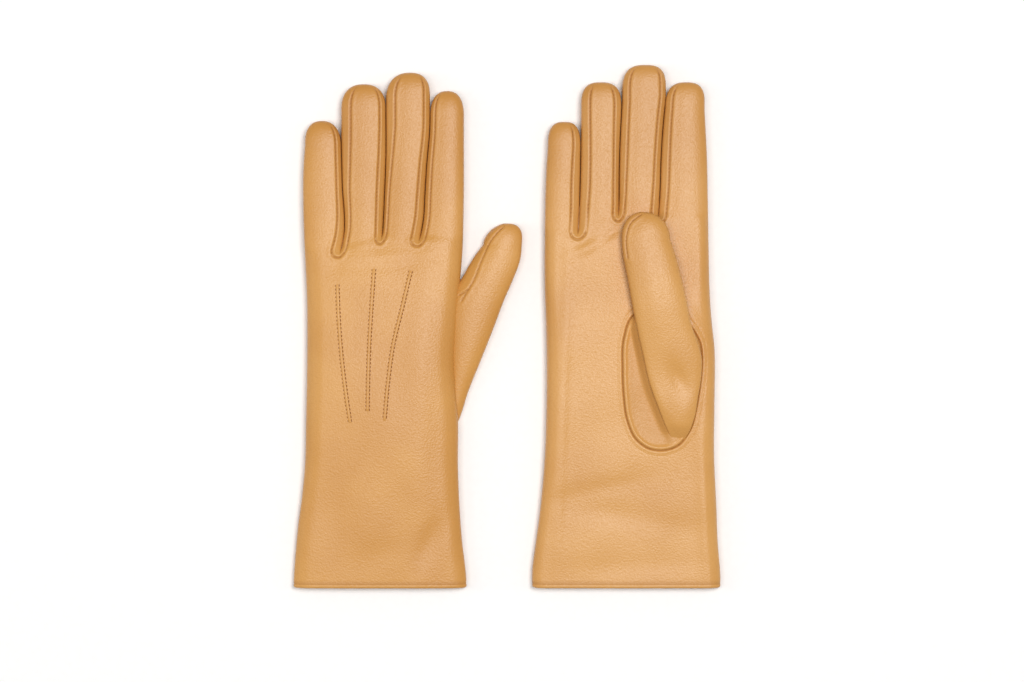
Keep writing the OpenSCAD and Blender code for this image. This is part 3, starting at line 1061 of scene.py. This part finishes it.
@dataclass(frozen=True)
class BackPoints:
    """The three points on a glove's back: leather pinched up and sewn through on both sides.

    Attributes:
        shift: How far the paths are moved across, for the second glove.
        upward: True where the back faces up.
        ridge: Half width of the ridge.
        height: Height of the ridge.
        row: Distance of each stitch row from the ridge's middle.
        pitch: Distance from one stitch to the next.
        stitch: Length of thread seen in one stitch.
        thread: Thread diameter.
        sink: How deep the right and the left row lie in the leather.
    """

    shift: float
    upward: bool
    ridge: float = 0.85
    height: float = 0.34
    row: float = 0.98
    pitch: float = 2.0
    stitch: float = 1.5
    thread: float = 0.40
    sink: tuple[float, float] = (0.02, 0.18)

    def line(self, path: Points, off: float, step: float) -> Array:
        """Places along a path, moved sideways by off, a step apart, as (x, y)."""
        flat = smooth_line(path, step) + [self.shift, 0]
        along = np.gradient(flat, axis=0)
        along /= np.linalg.norm(along, axis=1, keepdims=True)
        return flat + off * np.stack([-along[:, 1], along[:, 0]], axis=-1)

    def on_leather(self, flat: Array, ground: BVHTree, rise: Array | float) -> Array:
        """Places at a height over the leather.

        Args:
            flat: Places, as (x, y).
            ground: The hand's leather.
            rise: Heights over it.

        Returns:
            Points.
        """
        way = 1.0 if self.upward else -1.0
        found = [ground.ray_cast(Vector((x * MM, y * MM, way)), Vector((0, 0, -way)))[0].z / MM
                 for x, y in flat]
        return np.column_stack([flat, np.array(found) + way * rise])

    def ridge_rings(self, path: Points, ground: BVHTree) -> Skin:
        """Rings round one ridge, whose ends sink into the leather."""
        middle = self.line(path, 0.0, 0.6)
        turn = np.linspace(0, 2 * math.pi, 17)[:-1]
        t = np.linspace(0, 1, len(middle))
        end = np.clip(np.minimum(t, 1 - t) / 0.035, 0.02, 1) ** 0.5
        flats = [self.line(path, self.ridge * math.cos(a), 0.6) for a in turn]
        rings = [self.on_leather(flat, ground, -0.12 + (self.height + 0.12)
                                 * max(math.sin(a), -0.4) * end) for flat, a in zip(flats, turn)]
        points = np.stack(rings, axis=1)
        normals = ring_normals(points)
        if (normals[:, 4, 2].mean() < 0) == self.upward:
            points = points[:, ::-1]
            normals = ring_normals(points)
        return Skin(points, normals, np.zeros(points.shape[:2]))

    def stitches(self, path: Points, ground: BVHTree) -> list[Array]:
        """Middle lines of the stitches of one point, both rows."""
        runs = []
        for way, sink in zip((1, -1), self.sink):
            fine = self.line(path, way * self.row, 0.1)
            step, length = round(self.pitch / 0.1), round(self.stitch / 0.1)
            for first in range(2, len(fine) - length, step):
                flat = fine[first:first + length + 1:2]
                arch = np.sin(np.linspace(0, math.pi, len(flat))) ** 0.35
                runs.append(self.on_leather(flat, ground, (0.8 * arch - 0.5) * self.thread - sink))
        return runs


@dataclass
class Glove:
    """One glove: its trank, stalls, strips, thumb, hem, points and linings.

    Attributes:
        form: The filled shape of the hand and fingers.
        thumb: The filled shape of the thumb.
        points: The points on its back.
        finishes: What its pieces are made of.
        skin_mm: Leather thickness.
        lining_mm: Lining thickness.
        lining_depth: How far the lining lies below the leather's face.
        hem_mm: Depth of the hem seen outside.
        facing_mm: How far the hem's turned edge runs back inside.
        bend_mm: Length over which a finger's root bends.
        hem_seam_mm: How deep the leather lies in the hem's seam.
        hem_dye_and_shade: How dark that seam is painted: partly dye gathered in it, partly painted
            shade in its groove.
        fine_rows: Start and end of a stretch of the hand that needs closer rows.
    """

    form: Form
    thumb: Lobe
    points: BackPoints
    finishes: Wardrobe
    skin_mm: float = 0.8
    lining_mm: float = 0.5
    lining_depth: float = 1.5
    hem_mm: float = 2.0
    facing_mm: float = 11.0
    bend_mm: float = 16.0
    hem_seam_mm: float = 0.22
    hem_dye_and_shade: float = 0.35
    fine_rows: tuple[float, ...] = ()

    @property
    def word(self) -> str:
        """The side's name, as nodes and bodies spell it."""
        return self.form.pattern.side.value

    @property
    def cuff_end(self) -> float:
        """Y of the cuff's edge."""
        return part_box(f"{self.word}_hem")[0][1] / MM

    def settle(self, obj: bpy.types.Object, slot: str, nodes: Sequence[str] = (),
               body: str = "hand", fold: Fold = ()) -> bpy.types.Object:
        """Hides the CAD nodes a piece stands for, ties it to a body or, where a fold is given,
        only bakes it in place, and reports it.

        Args:
            obj: The piece.
            slot: Not used.
            nodes: CAD nodes that it stands for, without the side's name.
            body: Body that it follows, without the side's name.
            fold: Start and end of the bend from the hand to that body, in millimetres. Where
                given, the piece is only baked in place and not tied to the body.

        Returns:
            The same piece.
        """
        if nodes:
            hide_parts(*(f"{self.word}_{node}" for node in nodes))
        if fold:
            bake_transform(obj)
        else:
            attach(obj, f"{self.word}_{body}")
        log.info("made %s with %d faces", obj.name, len(obj.data.polygons))
        return obj

    def hand_rows(self) -> Array:
        """Row places of the hand, closer where the finger creases begin, and one past each end."""
        form = self.form
        low, near = self.cuff_end + self.hem_mm, form.crotch(1)
        stops = [low, *self.fine_rows, near - 16, near - 4, form.fold - 0.2]
        steps = [2.4, 1.0, 2.4, 1.0, 0.40] if self.fine_rows else [2.2, 1.0, 0.38]
        rows = [np.arange(a, b, step) for a, b, step in zip(stops[:-1], stops[1:], steps)]
        return np.concatenate([[low - 1.0], *rows, [form.fold, form.fold + 0.5]])

    def hand_skin(self) -> Skin:
        """The hand and cuff, and one row past each end for even shading."""
        rows = self.hand_rows()
        points, distance = self.form.ring(range(4), rows)
        return press(points, distance, upright=1.0)

    def build_trank(self) -> bpy.types.Object:
        """The hand and cuff in one piece of leather."""
        skin = self.hand_skin().rows(1, -1)
        sink = bell(skin.points[..., 1] - self.cuff_end - self.hem_mm, 0.7)
        skin.points -= skin.normals * (self.hem_seam_mm * sink)[..., None]
        # The hem's seam is darkened: partly dye gathered there, partly painted shade in its
        # groove.
        skin.seam = np.maximum(skin.seam, self.hem_dye_and_shade * sink)
        trank = make_shell(f"{self.word}_trank_leather", skin, self.skin_mm, self.finishes.leather,
                           self.trank_cells(skin))
        return self.settle(trank, "leather", ["trank"])

    def trank_cells(self, skin: Skin) -> Array:
        """Which cells of the hand are leather: all but the hole that the thumb is set into."""
        raise NotImplementedError

    def build_hem(self) -> bpy.types.Object:
        """The cuff's edge, turned in on itself."""
        roll = self.skin_mm + 0.2
        turn = np.radians(np.linspace(-90, 90, 15))
        end = self.cuff_end
        facing = np.linspace(end + self.facing_mm, end + roll + 0.6, 8)
        y = np.concatenate([facing, end + roll - roll * np.cos(turn),
                            [end + roll + 0.35, end + self.hem_mm - 0.3, end + self.hem_mm]])
        inset = np.concatenate([np.full(len(facing), 2 * roll), roll - roll * np.sin(turn),
                                [0.0, 0.06, self.hem_seam_mm]])
        shaped = []
        for place, depth in zip(y, inset):
            points, _ = self.form.ring(range(4), np.array([place, place + 0.5]))
            normals = ring_normals(points)
            ring = points[0] - normals[0] * depth
            ring[:, 1] = place
            corner = np.clip((end + self.hem_mm - place) / self.hem_mm, 0, 1)
            middle = (ring[:, 0].max() + ring[:, 0].min()) / 2
            squeeze = 1 - 0.022 * (1 - math.sqrt(1 - corner**2))
            ring[:, 0] = middle + (ring[:, 0] - middle) * squeeze
            shaped.append(ring)
        points = np.stack(shaped)
        # The hem's seam row is darkened: partly dye, partly painted shade in its groove.
        tone = np.zeros(points.shape[:2])
        tone[-1] = self.hem_dye_and_shade
        hem = make_shell(f"{self.word}_hem_leather", Skin(points, ring_normals(points), tone),
                         self.skin_mm, self.finishes.leather)
        return self.settle(hem, "leather", ["hem"])

    def finger_skin(self, k: int) -> Skin:
        """One finger as rings, and one row before its first for even shading."""
        form = self.form
        start = form.pattern.tips[k][1] - form.tip_reach
        rows = np.concatenate([[form.fold - 0.5], np.arange(form.fold, start - 0.5, 0.9),
                               tip_rows(start, form.tip_reach, 22)])
        points, distance = form.ring([k], rows)
        along = points[..., 1]
        return press(points, distance, smooth((form.pattern.tips[k][1] - 1 - along) / 4),
                     upright=1 - smooth((along - form.fold - 1) / 10))

    def finger_fold(self, k: int) -> Fold:
        """Where a finger's bend starts and ends."""
        x = self.form.pattern.tips[k][0]
        return (x, self.form.fold, 0.0), (x, self.form.fold + self.bend_mm, 0.0)

    def build_finger(self, finger: Finger) -> None:
        """A finger's stall, its strips and its lining."""
        k, form = finger.value, self.form
        skin = self.finger_skin(k).rows(1, None)
        body, fold = finger.word, self.finger_fold(k)
        cells = np.ones((len(skin.points) - 1, skin.points.shape[1]), bool)
        n, m = form.per_finger, form.strip_columns
        total = 2 * (n + 1)
        last_row = int(np.searchsorted(skin.points[:, 0, 1], form.pattern.tips[k][1] - 3.0))
        spans = {}
        if k > 0:
            spans["outer"] = [j % total for j in range(-m - 1, m)]
        if k < 3:
            spans["inner"] = list(range(n - m, n + m + 1))
        for side, columns in spans.items():
            strip = np.zeros_like(cells)
            strip[:last_row, columns] = True
            cells &= ~strip
            node = f"{body}_fourchette" + (f"_{side}" if len(spans) > 1 else "")
            piece = make_shell(f"{self.word}_{node}_strip", skin, self.skin_mm,
                               self.finishes.leather, strip)
            self.settle(piece, "fourchette", [node], body, fold)
        stall = make_shell(f"{self.word}_{body}_stall_leather", skin, self.skin_mm,
                           self.finishes.leather, cells, tip=True)
        self.settle(stall, "leather", [f"{body}_stall"], body, fold)
        inner = skin.thinned(3).inwards(self.lining_depth)
        draw_back(inner.points, form.pattern.tips[k][1])
        inner = Skin(inner.points, ring_normals(inner.points), inner.seam * 0)
        self.build_knit(body, inner, body, fold)

    def build_knit(self, part: str, skin: Skin, body: str, fold: Fold) -> None:
        """One lining.

        Args:
            part: The part of the glove that it lines.
            skin: Its face.
            body: Body that it follows, without the side's name.
            fold: Start and end of its bend, or nothing. Where given, the lining's tip is closed
                and the piece is only baked in place.
        """
        lining = make_shell(f"{self.word}_{part}_knit", skin, self.lining_mm,
                            self.finishes.lining, tip=bool(fold))
        self.settle(lining, "lining", [f"{part}_lining"], body, fold)

    def build_hand_lining(self) -> None:
        """The knitted lining of the hand and cuff."""
        form = self.form
        rows = np.concatenate([np.arange(self.cuff_end + self.facing_mm + 0.1, form.fold - 8, 5.0),
                               np.linspace(form.fold - 7, form.fold, 6)])
        points, _ = form.ring(range(4), rows)
        points = (points - ring_normals(points) * self.lining_depth)[:, ::3]
        skin = Skin(points, ring_normals(points), np.zeros(points.shape[:2]))
        self.build_knit("hand", skin, "hand", ())

    def build_points(self, trank: bpy.types.Object) -> None:
        """The back's three points and the thread that holds them."""
        points = self.points
        bpy.context.view_layer.update()
        ground = BVHTree.FromObject(trank, bpy.context.evaluated_depsgraph_get())
        runs = []
        for name, path in zip(("outer", "middle", "inner"), POINT_PATHS):
            ridge = make_tube(f"{self.word}_point_{name}_ridge", points.ridge_rings(path, ground),
                              self.finishes.leather)
            self.settle(ridge, "leather", [f"point_{name}"])
            runs += points.stitches(path, ground)
        thread = make_rod_set(f"{self.word}_point_stitches", runs, points.thread / 2, 8,
                              self.finishes.thread)
        self.settle(thread, "thread", ["point_thread"])

    def build_thumb(self) -> None:
        """The thumb and its lining."""
        raise NotImplementedError

    def build(self) -> None:
        """Builds every piece of the glove."""
        self.build_points(self.build_trank())
        self.build_hem()
        for finger in Finger:
            self.build_finger(finger)
        self.build_hand_lining()
        self.build_thumb()


@dataclass
class LeftGlove(Glove):
    """The left-hand glove, back up, with its thumb out to the side.

    Attributes:
        fold: Start and end of the thumb's bend.
        start_y: Where the thumb's root begins, under the hand.
        opening: Start and end of the hole under the hand's edge, along the hand.
        opening_mm: How far the hole reaches in from that edge.
        open_side: X up to which the thumb's root is open towards the hole.
        open_end: Y where the root's open side ends.
        lining_row: Row of the thinned thumb where its lining begins.
    """

    fold: Fold = ((-27.0, 0.0, 0.0), (-13.0, 0.0, 0.0))
    start_y: float = -54.0
    opening: tuple[float, float] = (-44.0, 17.0)
    opening_mm: float = 3.5
    open_side: float = -28.5
    open_end: float = 14.0
    lining_row: int = 18

    def trank_cells(self, skin: Skin) -> Array:
        """Which cells of the hand are leather: all but the hole under its inner edge."""
        x, y, z = np.moveaxis(skin.points[:-1], -1, 0)
        near_edge = x > self.form.edges(y)[1] - self.opening_mm
        return ~(near_edge & (z < 6) & (y > self.opening[0]) & (y < self.opening[1]))

    def build_thumb(self) -> None:
        """The thumb, whose root lies under the hand's edge, and its lining."""
        thumb = self.thumb
        start = thumb.tip[1] - thumb.tip_reach
        rows = np.concatenate([np.arange(self.start_y, start, 0.8),
                               tip_rows(start, thumb.tip_reach, 26)])
        points, distance = thumb.ring(rows)
        skin = press(points, distance, 0.9)
        x, y = skin.points[:-1, :, 0], skin.points[:-1, :, 1]
        cells = ~((x < self.open_side) & (y < self.open_end) & (y > self.opening[0]))
        piece = make_shell("left_thumb_leather", skin, self.skin_mm, self.finishes.leather, cells,
                           tip=True)
        self.settle(piece, "leather", ["thumb"], "thumb_tip", self.fold)
        inner = skin.thinned(3).inwards(self.lining_depth)
        inner = Skin(inner.points, ring_normals(inner.points), inner.seam * 0)
        inner = inner.rows(self.lining_row, None)
        draw_back(inner.points, thumb.tip[1])
        self.build_knit("thumb", inner, "thumb_tip", self.fold)


@dataclass
class RightGlove(Glove):
    """The right-hand glove, palm up, with its thumb folded over the palm.

    Attributes:
        fold: Start and end of the thumb's bend.
        start_y: Where the thumb's root comes out of the palm.
        split_y: Where the root ends and the moving thumb begins.
        skirt_mm: How far the gusset reaches over the palm, outside its seam.
        hole_middle: A place well inside the oval seam.
        palm_tree: The palm's surface before any seam is pressed in.
    """

    fold: Fold = ((78.5, 12.65, 0.0), (75.6, 26.6, 0.0))
    start_y: float = -61.0
    split_y: float = 9.0
    skirt_mm: float = 3.6
    hole_middle: tuple[float, float] = (80.0, -26.0)
    palm_tree: BVHTree | None = None

    def hole_distance(self, x: Array, y: Array) -> Array:
        """Distance to the seam round the thumb, less than 0 inside it."""
        line = smooth_line(THUMB_HOLE, 1.2, closed=True)
        inside = np.zeros(np.shape(x), bool)
        for (ax, ay), (bx, by) in zip(line[:-1], line[1:]):
            if ay == by:
                continue
            crosses = (ay > y) != (by > y)
            inside ^= crosses & (x < ax + (y - ay) / (by - ay) * (bx - ax))
        return line_distance(x, y, line) * np.where(inside, -1.0, 1.0)

    def hand_skin(self) -> Skin:
        """The hand and cuff, with the seam round the thumb pressed into the palm."""
        rows = self.hand_rows()
        points, distance = self.form.ring(range(4), rows)
        palm = points[..., 2] > HALFWAY_UP
        ring = np.where(palm, self.hole_distance(points[..., 0], points[..., 1]), FAR)
        self.palm_tree = surface_tree(points, palm)
        # Under the gusset's skirt the palm lies 1 mm lower.
        points[..., 2] -= np.where(palm, smooth((2.3 - ring) / 1.2), 0.0)
        return press(points, distance, upright=1.0)

    def trank_cells(self, skin: Skin) -> Array:
        """Which cells of the hand are leather: all but the hole in the palm."""
        x, y, z = np.moveaxis(skin.points[:-1], -1, 0)
        return ~((z > HALFWAY_UP) & (self.hole_distance(x, y) < -3.0))

    def build_thumb(self) -> None:
        """The folded thumb, its root, the hollow side of the root and the lining."""
        thumb = self.thumb
        split = self.split_y
        start = thumb.tip[1] - thumb.tip_reach
        rows = np.concatenate([np.arange(self.start_y, split - 0.3, 0.8), [split],
                               np.arange(split + 0.7, start - 0.3, 0.8),
                               tip_rows(start, thumb.tip_reach, 26)])
        points, distance = thumb.ring(rows)
        skin = press(points, distance, 0.9)
        at = int(np.searchsorted(rows, split))
        piece = make_shell("right_thumb_leather", skin.rows(at, None), self.skin_mm,
                           self.finishes.leather, tip=True)
        self.settle(piece, "leather", ["thumb"], "thumb_tip", self.fold)
        root = make_shell("right_thumb_root_leather", skin.rows(0, at + 1), self.skin_mm,
                          self.finishes.leather)
        self.settle(root, "leather", ["thumb_root"])
        self.build_gusset()
        inner = skin.rows(at, None).thinned(3).inwards(self.lining_depth)
        inner = Skin(inner.points, ring_normals(inner.points), inner.seam * 0)
        draw_back(inner.points, thumb.tip[1])
        self.build_knit("thumb", inner, "thumb_tip", self.fold)

    def build_gusset(self) -> bpy.types.Object:
        """The root's side that faces the palm.

        From the outside in: a skirt that lies on the palm and tucks under it, the oval seam's
        ditch with a roll on both sides, and a hollow that rises to the thumb.

        Returns:
            The piece.
        """
        line = smooth_line(THUMB_HOLE, 0.9, closed=True)[:-1][::-1]
        middle = np.array(self.hole_middle)
        along = np.roll(line, -1, axis=0) - np.roll(line, 1, axis=0)
        out = np.stack([along[:, 1], -along[:, 0]], axis=1) / np.hypot(*along.T)[:, None]
        out *= np.sign(((line - middle) * out).sum())
        skirt = line[None] + out[None] * np.linspace(self.skirt_mm, 0.2, 18)[:, None, None]
        shares = np.concatenate([1 - np.linspace(0, 0.22, 24), np.linspace(0.75, 0.06, 16)])
        flat = np.concatenate([skirt, middle + (line[None] - middle) * shares[:, None, None]])
        x, y = flat[..., 0], flat[..., 1]
        inward, at_seam = -self.hole_distance(x, y), len(skirt)
        inward[at_seam] = 0.0
        palm = np.array([drop(self.palm_tree, a, b) for a, b in zip(x.ravel(), y.ravel())])
        palm = palm.reshape(x.shape)
        # The ground follows the palm outside the seam and keeps the seam's height inside it.
        ground = (palm * smooth(1 - inward / 1.5)
                  + (palm[at_seam] - 0.1) * smooth(inward / 1.5) + 0.04)
        rolls = 0.18 * bell(inward + 1.2, 0.8) + 0.70 * bell(inward - 1.4, 1.0)
        ditch = 0.70 * bell(inward, 0.36)
        hollow = 0.45 * smooth((inward - 2.0) / 5.0)
        tucked = 0.40 * smooth((-inward - 2.6) / 0.9)
        z = ground + rolls - ditch - hollow - tucked
        # Towards the thumb the gusset rises to the line halfway up it, and passes inside it.
        lobe_edge = curve_through(self.thumb.left)(y)
        lobe_middle = np.maximum(self.thumb.middle(y) - 0.4, 12.2)
        within = smooth((inward - 0.8) / 2.5)
        z = z + (lobe_middle - z) * smooth((x - lobe_edge + 4.0) / 4.6) * within
        z = z + (12.6 - z) * smooth((x - lobe_edge - 5) / 6.0) * within
        points = np.stack([x, y, z], axis=-1)
        beads = 0.85 + 0.15 * np.cos(2 * math.pi * y / BEAD_MM)
        # Painted shade: the seam's line is darkened, partly dye gathered there and partly painted
        # shade in its ditch, and the hollow inside the seam is painted darker as shade.
        tone = np.maximum(0.9 * bell(inward, 0.34) * beads, 0.16 * smooth(inward / 3 - 0.5))
        skin = Skin(points, ring_normals(points), tone)
        gusset = make_shell("right_thumb_gusset_leather", skin, self.skin_mm,
                            self.finishes.leather, tip=True)
        return self.settle(gusset, "leather", ["thumb_root"])


@dataclass
class Studio:
    """White paper, soft lights and the camera straight above.

    Attributes:
        centre: Middle of the view.
        view_width: Width of the view on the paper.
        camera_height: Height of the lens above the paper.
        sensor: Width of the camera's sensor.
        paper_mm: Half the width of the paper.
    """

    centre: tuple[float, float] = (2.6, -7.5)
    view_width: float = 532.5
    camera_height: float = 1800.0
    sensor: float = 36.0
    paper_mm: float = 1600.0

    def build(self) -> None:
        """Makes the paper, the lights and the camera."""
        self.add_paper()
        self.add_lights()
        self.add_camera()

    def add_paper(self) -> None:
        """A wide sheet of background paper under the gloves."""
        corners = np.array([[-1, -1, 0], [1, -1, 0], [1, 1, 0], [-1, 1, 0]]) * self.paper_mm
        finish = StudioPaper("studio_paper").material()
        paper = make_object("paper", corners, [[0, 1, 2, 3]], finish)

    def add_light(self, name: str, place: Sequence[float], size: Sequence[float],
                  power: float) -> None:
        """One soft box that faces the middle of the view.

        Args:
            name: Object name.
            place: Where it hangs, in millimetres.
            size: Width and height, in millimetres.
            power: Watts.
        """
        data = bpy.data.lights.new(name, "AREA")
        data.shape = "RECTANGLE"
        data.size, data.size_y = size[0] * MM, size[1] * MM
        data.energy = power
        light = bpy.data.objects.new(name, data)
        light.location = [v * MM for v in place]
        aim = Vector([self.centre[0] * MM, self.centre[1] * MM, 0]) - light.location
        light.rotation_euler = aim.to_track_quat("-Z", "Y").to_euler()
        bpy.context.scene.collection.objects.link(light)

    def add_lights(self) -> None:
        """A high key and fill from both sides, low strips and pale surroundings."""
        self.add_light("key_box", (430, 260, 2200), (760, 760), 31)
        self.add_light("fill_box", (-560, -60, 2200), (600, 900), 12)
        self.add_light("right_strip", (1250, 0, 800), (250, 1200), 1.5)
        self.add_light("left_strip", (-1250, 0, 800), (250, 1200), 3.0)
        world = bpy.data.worlds.new("studio_air")
        world.use_nodes = True
        background = world.node_tree.nodes["Background"]
        background.inputs["Color"].default_value = linear("#FFFFFF")
        background.inputs["Strength"].default_value = 0.20
        bpy.context.scene.world = world
        # Plain sRGB keeps the tan as saturated as the colours above say.
        bpy.context.scene.view_settings.view_transform = "Standard"

    def add_camera(self) -> None:
        """A long lens straight above the gloves."""
        data = bpy.data.cameras.new("camera")
        data.sensor_width = self.sensor
        data.lens = self.sensor * self.camera_height / self.view_width
        data.clip_end = 20.0
        camera = bpy.data.objects.new("camera", data)
        camera.location = (self.centre[0] * MM, self.centre[1] * MM, self.camera_height * MM)
        bpy.context.scene.collection.objects.link(camera)
        bpy.context.scene.camera = camera


def main() -> None:
    """Builds both gloves and the studio, and reports each piece."""
    logging.basicConfig(level=logging.INFO, format="%(message)s")
    Studio().build()
    LeftGlove(Form(LEFT_PATTERN, 46.0), LEFT_THUMB, BackPoints(0.0, True),
              Wardrobe.for_side(Side.LEFT)).build()
    right_form = Form(RIGHT_PATTERN, 62.0, tip_square=2.8, edge_reach=6.5)
    RightGlove(right_form, RIGHT_THUMB, BackPoints(125.4, False),
               Wardrobe.for_side(Side.RIGHT), fine_rows=(-68.0, -50.0)).build()


if __name__ == "__main__":
    main()
